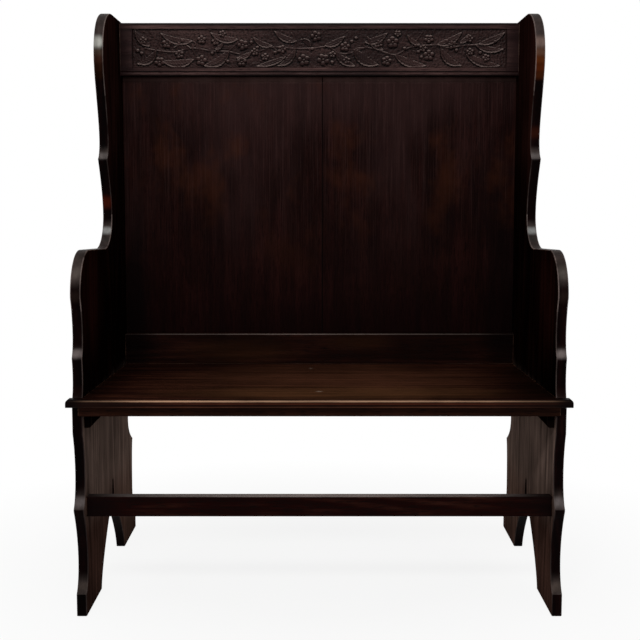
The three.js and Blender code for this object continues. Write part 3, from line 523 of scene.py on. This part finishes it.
# Back boards
# Two wide thin boards with their grain upright, tongued into each other a little right of the
# middle and nailed to the rails. The front is stained and waxed, the rear only stained thinly.
dry_oak = ("#2a1c14", "#6b5140")
for side, shift in (("left", (0.67, 0.2, 0.3)), ("right", (2.9, 0.5, 0.1))):
    board = copy_of_node(side + "_back_board", "back_board_" + side)
    ease_arrises(board, arrises_over(0.3), width=0.0004)
    board.data.materials.append(oak_finish(
        "dark waxed oak of the " + side + " back board", "#090101", "#120403", "#220d0b", "#3a211a",
        grain="Z", shift=shift, ring_share=0.06, fibre_scale=260.0, contrast=0.75, roughness=0.46,
        dry_rear=dry_oak, wear_and_painted_light=(
            # Painted light and shade: paler towards the crest, painted shade above the lower rail, a painted
            # light line under the crest over the crest's shadow, and painted shade at both sides by the
            # wings.
            ((0.0, 0.193, 1.17), (0.8, 0.1, 0.24), "#2d1c1b", 0.75),
            ((0.0, 0.193, 0.45), (0.9, 0.1, 0.25), "#0c0202", 0.7),
            ((0.0, 0.193, 1.1175), (0.9, 0.1, 0.01), "#563f3c", 0.9),
            ((-0.45, 0.193, 0.6), (0.06, 0.1, 0.4), "#060202", 0.85),
            ((0.45, 0.193, 0.6), (0.09, 0.1, 0.5), "#080202", 0.85))))

    # Old wax on the front, and more of it higher up: a grey bloom and worn golden patches as large as a
    # head, and fine pale scuffs 2 to 3 mm wide, slanting a few degrees.
    tree = board.data.materials[0].node_tree
    surface = next(node for node in tree.nodes if node.type == "BSDF_PRINCIPLED")
    shown = surface.inputs["Base Color"].links[0].from_socket
    place = add_node(tree, "ShaderNodeTexCoord").outputs["Object"]
    normal = add_node(tree, "ShaderNodeNewGeometry").outputs["Normal"]
    facing = add_node(tree, "ShaderNodeSeparateXYZ", {0: normal})
    front = add_node(tree, "ShaderNodeMapRange", {
        "Value": facing.outputs["Y"], "From Min": -0.5, "From Max": -0.8})
    rear = add_node(tree, "ShaderNodeMapRange", {
        "Value": facing.outputs["Y"], "From Min": 0.5, "From Max": 0.8})
    height = add_node(tree, "ShaderNodeSeparateXYZ", {0: place})
    upper = add_node(tree, "ShaderNodeMapRange", {
        "Value": height.outputs["Z"], "From Min": 0.55, "From Max": 1.0}, interpolation_type="SMOOTHSTEP")
    upper = add_node(tree, "ShaderNodeMath", {
        0: upper.outputs["Result"], 1: front.outputs["Result"]}, operation="MULTIPLY")
    for offset, turn, stretch, scale, low, high, tint, most in (
            ((3.1, 0.4, 1.7), 0.0, 0.35, 6.0, 0.4, 0.74, "#33201f", 0.5),
            ((0.3, 2.4, 0.9), 0.0, 0.7, 7.0, 0.5, 0.7, "#33170b", 0.6),
            ((0.0, 0.0, 0.0), 5.0, 0.012, 500.0, 0.5, 0.85, "#5f4340", 0.2),
            ((2.0, 0.0, 0.0), -4.0, 0.012, 300.0, 0.52, 0.85, "#5f4340", 0.22)):
        slanted = add_node(tree, "ShaderNodeMapping", {
            "Vector": place, "Location": offset, "Scale": (1, 1, stretch),
            "Rotation": (0, math.radians(turn), 0)})
        worn = add_node(tree, "ShaderNodeTexNoise", {
            "Vector": slanted.outputs["Vector"], "Scale": scale, "Detail": 4.0, "Roughness": 0.6})
        worn = add_node(tree, "ShaderNodeMapRange", {
            "Value": worn.outputs["Fac"], "From Min": low, "From Max": high, "To Min": 0.0, "To Max": most},
            interpolation_type="SMOOTHSTEP")
        worn = add_node(tree, "ShaderNodeMath", {
            0: worn.outputs["Result"], 1: upper.outputs["Value"]}, operation="MULTIPLY")
        shown = add_node(tree, "ShaderNodeMix", {
            0: worn.outputs["Value"], 6: shown, 7: colour(tint)}, data_type="RGBA").outputs[2]

    # The joint has gone dark on both sides, and on the rear the iron has stained the oak round each nail.
    stains = [((0.007, 0.2, 0.8), (0.0016, 1.0, 10.0), 0.6, 0.85, False)]
    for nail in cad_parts:
        if "back_nail" in nail and side in nail:
            stains.append((sum(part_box(nail), Vector()) / 2, (0.011, 1.0, 0.02), 0.4, 0.8, True))
    for point, reach, least, most, rear_only in stains:
        dark = add_node(tree, "ShaderNodeMapRange", {
            "Value": away_from(tree, place, point, reach), "From Min": least, "From Max": 1.0,
            "To Min": most, "To Max": 0.0})
        if rear_only:
            dark = add_node(tree, "ShaderNodeMath", {
                0: dark.outputs["Result"], 1: rear.outputs["Result"]}, operation="MULTIPLY")
        shown = add_node(tree, "ShaderNodeMix", {
            0: dark.outputs[0], 6: shown, 7: colour("#080505")}, data_type="RGBA").outputs[2]
    tree.links.new(shown, surface.inputs["Base Color"])
    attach(board, "root")
    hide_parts("back_board_" + side)

# Bearers, rear seat rail and glue blocks
# Plain oak parts under the seat: a bearer screwed to each end board, the rail that the back boards
# are nailed to, and three short blocks glued behind the apron. They are stained nearly black but not
# waxed, so they look dull and dry.
for name, node, grain, shift in (
        ("left_bearer", "seat_bearer_left", "Y", (0.1, 0.2, 0.3)),
        ("right_bearer", "seat_bearer_right", "Y", (0.4, 0.5, 0.6)),
        ("rear_rail", "rear_seat_rail", "X", (0.7, 0.1, 0.9)),
        ("left_block", "glue_block_1", "X", (0.2, 0.8, 0.4)),
        ("middle_block", "glue_block_2", "X", (0.9, 0.4, 0.2)),
        ("right_block", "glue_block_3", "X", (0.6, 0.7, 0.8))):
    support = copy_of_node(name, node)
    ease_arrises(support, arrises_over(0.005), width=0.001)
    support.data.materials.append(oak_finish(
        "dry stained oak of the " + name.replace("_", " "), "#020101", "#050202", "#0e0806", "#2a201a",
        grain=grain, shift=shift, roughness=0.7, sheen=0.0))
    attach(support, "root")
    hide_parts(node)

# Crest rail
# The top rail between the wings, of stained and waxed oak. A sunk panel is cut in its face, with a
# running branch of leaves, blossoms and berries left standing in low relief on a tooled ground.
full_relief = 0.0034
crest = copy_of_node("crest", "crest_rail")
crest_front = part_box("crest_rail")[0].y
shape = bmesh.from_edit_mesh(crest.data)
# The sunk panel's floor is what lies 3 to 5 mm behind the crest's face.
panel_floor = [face for face in shape.faces if face.normal.y < -0.99
               and 0.003 < face.calc_center_median().y - crest_front < 0.005
               and abs(face.calc_center_median().x) < 0.3]
panel_corners = [corner.co for face in panel_floor for corner in face.verts]
panel_low = Vector([min(corner[axis] for corner in panel_corners) for axis in range(3)])
panel_high = Vector([max(corner[axis] for corner in panel_corners) for axis in range(3)])
panel_width, panel_height = panel_high.x - panel_low.x, panel_high.z - panel_low.z
panel_depth = panel_low.y - crest_front


def in_panel(point):
    """Tells whether a point lies on the sunk panel's floor, walls or rim."""
    slack = 0.0002
    return (panel_low.x - slack < point.x < panel_high.x + slack
            and panel_low.z - slack < point.z < panel_high.z + slack and point.y < panel_low.y + slack)


# The floor and walls of the sunk panel are taken out, and its rim is divided as finely as the carving,
# in steps of about 1 mm. One subdivide makes at most a hundred cuts, so the long sides are first cut
# into a few lengths.
lengths = 9
columns = lengths * 98
rows = 92
bpy.ops.mesh.select_mode(type="FACE")
bpy.ops.mesh.select_all(action="DESELECT")
for face in shape.faces:
    face.select_set(all(in_panel(corner.co) for corner in face.verts)
                    and not (face.normal.y < -0.99 and face.calc_center_median().y < crest_front + 0.001))
bmesh.update_edit_mesh(crest.data)
bpy.ops.mesh.delete(type="FACE")
for cuts, upright in ((lengths - 1, False), (columns // lengths - 1, False), (rows - 1, True)):
    shape = bmesh.from_edit_mesh(crest.data)
    bpy.ops.mesh.select_mode(type="EDGE")
    bpy.ops.mesh.select_all(action="DESELECT")
    for edge in shape.edges:
        run = edge.verts[0].co - edge.verts[1].co
        if edge.is_boundary and run.length > 0.05 and (abs(run.z) > abs(run.x)) == upright:
            edge.select_set(True)
    bmesh.update_edit_mesh(crest.data)
    bpy.ops.mesh.subdivide(number_cuts=cuts)

# The carved ground is a fine grid at the panel's depth, with its border drawn forward to the rim.
panel_middle = (panel_low + panel_high) / 2
bpy.ops.mesh.select_mode(type="VERT")
bpy.ops.mesh.select_all(action="DESELECT")
bpy.ops.mesh.primitive_grid_add(x_subdivisions=columns, y_subdivisions=rows, size=1, location=panel_middle,
                                rotation=(math.pi / 2, 0, 0))
bpy.ops.transform.resize(value=(panel_width, 1, panel_height), center_override=panel_middle)
shape = bmesh.from_edit_mesh(crest.data)
ground_mark = shape.verts.layers.float.new("carved")
shape.verts.layers.float.new("standing")
for corner in shape.verts:
    corner[ground_mark] = 1.0 if corner.select else 0.0
bpy.ops.mesh.select_mode(type="EDGE")
shape = bmesh.from_edit_mesh(crest.data)
border = [edge for edge in shape.edges if edge.select and edge.is_boundary]
bpy.ops.mesh.select_all(action="DESELECT")
for edge in border:
    edge.select_set(True)
bmesh.update_edit_mesh(crest.data)
bpy.ops.mesh.extrude_edges_move(TRANSFORM_OT_translate={"value": (0, -panel_depth, 0)})
shape = bmesh.from_edit_mesh(crest.data)
ground_mark = shape.verts.layers.float["carved"]
for corner in shape.verts:
    if corner.select:
        corner[ground_mark] = 0.0
bpy.ops.mesh.select_mode(type="VERT")
bpy.ops.mesh.select_all(action="SELECT")
bpy.ops.mesh.remove_doubles(threshold=0.0001)
bpy.ops.mesh.normals_make_consistent(inside=False)
shape = bmesh.from_edit_mesh(crest.data)

# The carving is drawn in millimetres from the middle of the panel's lower edge, and its heights are
# shares of the full relief.
ground = [corner for corner in shape.verts if corner[shape.verts.layers.float["carved"]] > 0.5]
across = np.array([corner.co.x for corner in ground]) * 1000
up = (np.array([corner.co.z for corner in ground]) - panel_low.z) * 1000


def soft_step(value):
    """A smooth rise from 0 to 1."""
    value = np.clip(value, 0, 1)
    return value * value * (3 - 2 * value)


def dome(middle_x, middle_y, radius):
    """A round knob."""
    return 0.97 * np.sqrt(np.clip(1 - np.hypot(across - middle_x, up - middle_y) ** 2 / radius ** 2, 0, 1))


def leaf(base, tip, bow, half_width):
    """A ribbed hollow leaf with a thick rolled rim on the side it bows to and a thin one opposite."""
    run, rise = tip[0] - base[0], tip[1] - base[1]
    length = math.hypot(run, rise)
    along = ((across - base[0]) * run + (up - base[1]) * rise) / length ** 2
    within = np.clip(along, 0, 1)
    from_chord = (-(across - base[0]) * rise + (up - base[1]) * run) / length
    from_spine = from_chord - 4 * bow * within * (1 - within)
    wavy = 1 + 0.04 * np.sin(along * length / 1.5)
    width = half_width * np.sin(math.pi * within ** 0.85) ** 0.7 * wavy + 0.01
    side = from_spine / width * math.copysign(1, bow)
    from_rim = (1 - side) * width
    from_thin_rim = (1 + side) * width
    hollow = np.clip((from_rim - 1.4) / np.minimum(3.6, 1.2 * width), 0, 1)
    rim = soft_step(from_rim / 1.2) * (1.0 - 0.6 * hollow)
    thin_rim = 0.5 * soft_step(from_thin_rim / 1.2) * (1 - 0.35 * soft_step(from_thin_rim / 4))
    ribs = 0.06 * np.sin(2 * math.pi * (along * length + 0.8 * from_spine) / 6.5)
    ribs = ribs * soft_step((from_rim - 2) / 2)
    midrib = 0.2 * np.exp(-from_spine ** 2) * (rim < 0.7)
    body = np.maximum(rim, thin_rim) + (ribs + midrib) * soft_step((1 - abs(side)) * width / 1.5)
    return np.where((along > 0) & (along < 1) & (abs(side) < 1), body, 0)


def blossom(middle, radius, turn):
    """Five round petals like knobs about a raised eye; the petals' tips lie a little past the radius."""
    radius *= 1.15
    petals = []
    for step in range(5):
        angle = turn + step * 2 * math.pi / 5
        petals.append(dome(middle[0] + 0.62 * radius * math.cos(angle),
                           middle[1] + 0.62 * radius * math.sin(angle), 0.43 * radius))
    return np.maximum.reduce(petals + [0.9 * dome(middle[0], middle[1], 0.27 * radius)])


def berry(middle, radius):
    """A round berry with a small pit in its top."""
    pit = 0.2 * np.exp(-((across - middle[0]) ** 2 + (up - middle[1]) ** 2) / (0.22 * radius) ** 2)
    return dome(middle[0], middle[1], radius) - pit


def twig(points, half_width):
    """A round twig along a smooth line through the points."""
    ends = [points[0]] + points + [points[-1]]
    line = []
    for a, b, c, d in zip(ends, ends[1:], ends[2:], ends[3:]):
        for step in range(8):
            t = step / 8
            line.append([0.5 * (2 * b[k] + (c[k] - a[k]) * t + (2 * a[k] - 5 * b[k] + 4 * c[k] - d[k]) * t * t
                                + (3 * b[k] - a[k] - 3 * c[k] + d[k]) * t ** 3) for k in (0, 1)])
    line.append(points[-1])
    nearest = np.full(len(across), 1e6)
    for (x0, y0), (x1, y1) in zip(line, line[1:]):
        run, rise = x1 - x0, y1 - y0
        share = ((across - x0) * run + (up - y0) * rise) / max(run ** 2 + rise ** 2, 1e-6)
        share = np.clip(share, 0, 1)
        nearest = np.minimum(nearest, np.hypot(across - x0 - share * run, up - y0 - share * rise))
    return 0.46 * np.sqrt(np.clip(1 - (nearest / half_width) ** 2, 0, 1))


# Each point's place in the grid, so that it can be compared with those round it.
column = np.rint((across - across.min()) / (np.ptp(across) / columns)).astype(int)
row = np.rint((up - up.min()) / (np.ptp(up) / rows)).astype(int)


def averaged(values, reach):
    """The values on the grid, each averaged over a square round its point."""
    padded, steps = np.pad(values, reach, mode="edge"), range(2 * reach + 1)
    return sum(padded[a:a + rows + 1, b:b + columns + 1] for a in steps for b in steps) / len(steps) ** 2


# The ground is pecked over with a small tool.
pecks = averaged(averaged(np.random.default_rng(5).normal(size=(rows + 1, columns + 1)), 1), 1)
tooling = np.clip(0.13 + 0.42 * pecks, 0.02, 0.34)[row, column]
carving = [tooling]

# The branch runs along the middle; twigs leave it for the leaves.
carving.append(twig([
    (-410, 45), (-385, 40), (-340, 36), (-300, 45), (-250, 38), (-215, 37), (-170, 30), (-110, 47),
    (-55, 44), (-15, 45), (20, 48), (45, 34), (70, 33), (110, 46), (150, 36), (180, 30), (215, 47),
    (270, 52), (300, 46), (350, 52), (395, 50)], 2.1))
for points in (
        [(-385, 40), (-374, 62), (-372, 78)], [(-300, 45), (-291, 55), (-296, 61)],
        [(-300, 45), (-292, 30), (-296, 18)], [(-215, 37), (-196, 55), (-192, 65)],
        [(-55, 44), (-57, 66), (-66, 80)], [(-55, 44), (-60, 43)], [(-110, 47), (-92, 34), (-80, 24)],
        [(20, 48), (14, 49)], [(110, 46), (90, 45), (82, 41)], [(110, 46), (104, 52), (107, 58)],
        [(215, 47), (235, 72), (244, 84)], [(180, 30), (176, 29)], [(270, 52), (276, 53)],
        [(270, 52), (284, 50), (286, 43)], [(350, 52), (346, 40), (346, 30)], [(350, 52), (374, 54)]):
    carving.append(twig(points, 1.6))
for base, tip, bow, half_width in (
        ((-384, 39), (-429, 8), 9, 9), ((-398, 49), (-433, 85), 5, 8), ((-298, 61), (-374, 80), 9, 9),
        ((-296, 18), (-372, 16), 9, 10), ((-302, 44), (-342, 47), -4, 6), ((-192, 65), (-256, 81), 8, 9),
        ((-213, 37), (-272, 4), 9, 11), ((-110, 50), (-156, 71), 7, 7), ((-53, 61), (-106, 84), 6, 8),
        ((-79, 25), (-149, 3), 4, 7), ((-57, 42), (-99, 3), 8, 8), ((38, 36), (84, 3), -6, 9),
        ((12, 50), (60, 73), -5, 8), ((81, 42), (139, 6), -9, 12), ((107, 58), (160, 80), -6, 9),
        ((177, 29), (251, 4), -7, 10), ((277, 53), (334, 82), -7, 9), ((286, 43), (334, 4), -9, 10),
        ((366, 53), (434, 43), -7, 8), ((374, 54), (436, 82), -5, 8), ((345, 30), (425, 4), -7, 10),
        ((-160, 36), (-196, 22), 4, 6), ((150, 40), (112, 72), 5, 7), ((-245, 42), (-226, 58), -3, 5),
        ((236, 52), (206, 76), 4, 6), ((-20, 48), (-44, 66), -4, 6), ((330, 56), (352, 78), -3, 6)):
    carving.append(leaf(base, tip, bow, half_width))
for middle, radius, turn in (
        ((-358, 55), 10, 0.2), ((-376, 13), 10, 0.9), ((-329, 30), 9, 0.5), ((-278, 16), 11, 0.1),
        ((-180, 52), 11, 0.7), ((-183, 13), 10, 0.3), ((-88, 42), 9, 0.0), ((-37, 17), 12, 0.5),
        ((9, 18), 12, 0.8), ((60, 48), 10, 0.2), ((-8, 72), 11, 0.6), ((172, 58), 12, 0.4),
        ((158, 15), 10, 0.1), ((257, 66), 9, 0.9), ((257, 28), 11, 0.3), ((312, 52), 9, 0.5),
        ((-128, 24), 8, 0.2), ((-244, 60), 8, 0.4), ((352, 66), 8, 0.1), ((392, 22), 8, 0.6),
        ((-414, 62), 8, 0.3), ((64, 16), 8, 0.5), ((-277, 64), 9, 0.3), ((-152, 36), 8, 0.5),
        ((31, 30), 7, 0.2), ((140, 55), 8, 0.6), ((243, 44), 8, 0.1), ((354, 36), 8, 0.4),
        ((-228, 78), 7, 0.0), ((184, 78), 7, 0.9)):
    carving.append(blossom(middle, radius, turn))
for middle in (
        (-427, 39), (-418, 33), (-252, 33), (-239, 39), (-17, 43), (-104, 35), (226, 50), (233, 36),
        (240, 24), (300, 62), (322, 40), (-146, 46), (-160, 58), (76, 60), (86, 68), (200, 44), (132, 48),
        (-216, 14), (-70, 60), (412, 60), (-330, 56), (-322, 62), (30, 12), (378, 34)):
    carving.append(berry(middle, 4.2))

# The highest parts stay a little below the crest's face, and all of it runs out at the panel's walls.
relief = np.clip(np.maximum.reduce(carving), 0, 1) * min(full_relief, 0.86 * panel_depth)
from_wall = np.minimum.reduce([
    across - panel_low.x * 1000, panel_high.x * 1000 - across, up, panel_height * 1000 - up])
relief *= soft_step(from_wall / 1.6)

# What stands proud of its surroundings is noted for the finish, which makes the highest parts paler where
# rubbed and what lies lower darker.
height_map = np.zeros((rows + 1, columns + 1))
height_map[row, column] = relief / full_relief
proud = (height_map - averaged(height_map, 4))[row, column]
standing = shape.verts.layers.float["standing"]
for corner, rise, share in zip(ground, relief, proud):
    corner.co.y -= rise
    corner[standing] = share
bmesh.update_edit_mesh(crest.data)
ease_arrises(crest, arrises_over(0.02), width=0.001)

# The top arris gets no worn tint, so that the painted shade along the top edge stays dark.
top_round_starts = 1.2425
for face in crest.data.polygons:
    if face.center.z > top_round_starts:
        crest.data.attributes["wear"].data[face.index].value = 0.0

# Wax polished to a soft shine on the mouldings, with painted shade along their lines and by the wings.
crest_finish = oak_finish(
    "carved waxed oak of the crest", "#221212", "#382624", "#4e3936", "#665046", grain="X",
    shift=(0.3, 0.6, 0.9), roughness=0.42, sheen=0.04, dry_rear=dry_oak, wear_and_painted_light=(
        # Painted shade at the top edge, along the panel's rim above and at both ends, in the scratched line
        # over the bead and under the bead's lower edge, and painted shadow on both sides by the wings.
        ((0.0, 0.17, 1.2455), (3.0, 0.1, 0.0078), "#030101", 0.97),
        ((0.0, 0.17, 1.2315), (3.0, 0.1, 0.0034), "#050202", 0.95),
        ((-0.4395, 0.17, 1.188), (0.003, 0.1, 0.08), "#070303", 0.9),
        ((0.4395, 0.17, 1.188), (0.003, 0.1, 0.08), "#070303", 0.9),
        ((0.0, 0.17, 1.1342), (3.0, 0.1, 0.0028), "#050202", 0.95),
        ((0.0, 0.17, 1.1255), (3.0, 0.1, 0.0034), "#050202", 0.95),
        ((-0.475, 0.17, 1.19), (0.07, 0.1, 0.2), "#150707", 0.9),
        ((0.475, 0.17, 1.19), (0.07, 0.1, 0.2), "#150707", 0.9)))

# In the carving: the panel darker, darker still in the hollows and beside the forms, painted shade on slopes
# that face down and a painted highlight on slopes that face up, and the highest forms paler where rubbed.
tree = crest_finish.node_tree
surface = next(node for node in tree.nodes if node.type == "BSDF_PRINCIPLED")
in_carving = add_node(tree, "ShaderNodeAttribute", attribute_name="carved")
raised = add_node(tree, "ShaderNodeAttribute", attribute_name="standing")
normal = add_node(tree, "ShaderNodeNewGeometry").outputs["Normal"]
facing = add_node(tree, "ShaderNodeSeparateXYZ", {0: normal})
shown = surface.inputs["Base Color"].links[0].from_socket
for value, low, high, tint, most in (
        (in_carving.outputs["Fac"], 0.4, 0.6, "#160c0b", 0.5),
        (raised.outputs["Fac"], -0.01, -0.17, "#060202", 0.93),
        (facing.outputs["Z"], -0.1, -0.5, "#050202", 0.95),
        (facing.outputs["Z"], 0.25, 0.68, "#806f6a", 0.84),
        (raised.outputs["Fac"], 0.32, 0.7, "#7d6c66", 0.4)):
    share = add_node(tree, "ShaderNodeMapRange", {
        "Value": value, "From Min": low, "From Max": high, "To Min": 0.0, "To Max": most})
    share = add_node(tree, "ShaderNodeMath", {
        0: share.outputs["Result"], 1: in_carving.outputs["Fac"]}, operation="MULTIPLY")
    shown = add_node(tree, "ShaderNodeMix", {
        0: share.outputs["Value"], 6: shown, 7: colour(tint)}, data_type="RGBA").outputs[2]
tree.links.new(shown, surface.inputs["Base Color"])
crest.data.materials.append(crest_finish)
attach(crest, "root")
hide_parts("crest_rail")

# Screws and nails
# Iron gone dark with age: countersunk screws that hold the seat and its bearers, and cut nails that
# hold the back boards. The iron is dull, with brown spots of rust 2 mm wide.
iron, tree = empty_material("iron gone dark")
place = add_node(tree, "ShaderNodeTexCoord").outputs["Object"]
rust = add_node(tree, "ShaderNodeTexNoise", {
    "Vector": place, "Scale": 420.0, "Detail": 3.0, "Roughness": 0.6})
metal = add_node(tree, "ShaderNodeMix", {
    0: rust.outputs["Fac"], 6: colour("#3c3735"), 7: colour("#6b5446")}, data_type="RGBA")
dull = add_node(tree, "ShaderNodeMapRange", {"Value": rust.outputs["Fac"], "To Min": 0.45, "To Max": 0.75})
surface = add_node(tree, "ShaderNodeBsdfPrincipled", {
    "Base Color": metal.outputs[2], "Metallic": 0.85, "Roughness": dull.outputs["Result"]})
add_node(tree, "ShaderNodeOutputMaterial", {"Surface": surface.outputs["BSDF"]})
# The cutter for the screws' slots; half its depth goes into the head.
cutter_length = 0.02
cutter_width = 0.0011
cutter_depth = 0.002
for number, (name, node) in enumerate(list(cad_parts.items())):
    if "nail" in name:
        node.data.materials.clear()
        node.data.materials.append(iron)
    if "screw" not in name:
        continue
    # The head lies in the bearer's side or underside, with a slot left at any angle by the screwdriver.
    screw = copy_of_node(name + "_slotted", name)
    bpy.ops.object.mode_set(mode="OBJECT")
    low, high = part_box(name)
    head = (low + high) / 2
    if "seat" in name:
        head.z, turned = low.z, Vector((0, 0, 1))
    else:
        head.x, turned = (high.x if head.x < 0 else low.x), Vector((1, 0, 0))
    long_way = Vector((0, 1, 0))
    long_way.rotate(Matrix.Rotation(0.9 * number, 3, turned))
    narrow_way = turned.cross(long_way)
    bpy.ops.object.select_all(action="DESELECT")
    bpy.ops.mesh.primitive_cube_add(size=1)
    cutter = bpy.context.object
    for corner in cutter.data.vertices:
        corner.co = (head + cutter_length * corner.co.x * long_way + cutter_width * corner.co.y * narrow_way
                     + cutter_depth * corner.co.z * turned)
    cut_away(screw, cutter)
    bpy.ops.object.shade_smooth_by_angle(angle=math.radians(35))
    screw.data.materials.append(iron)
    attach(screw, "root")
    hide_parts(name)
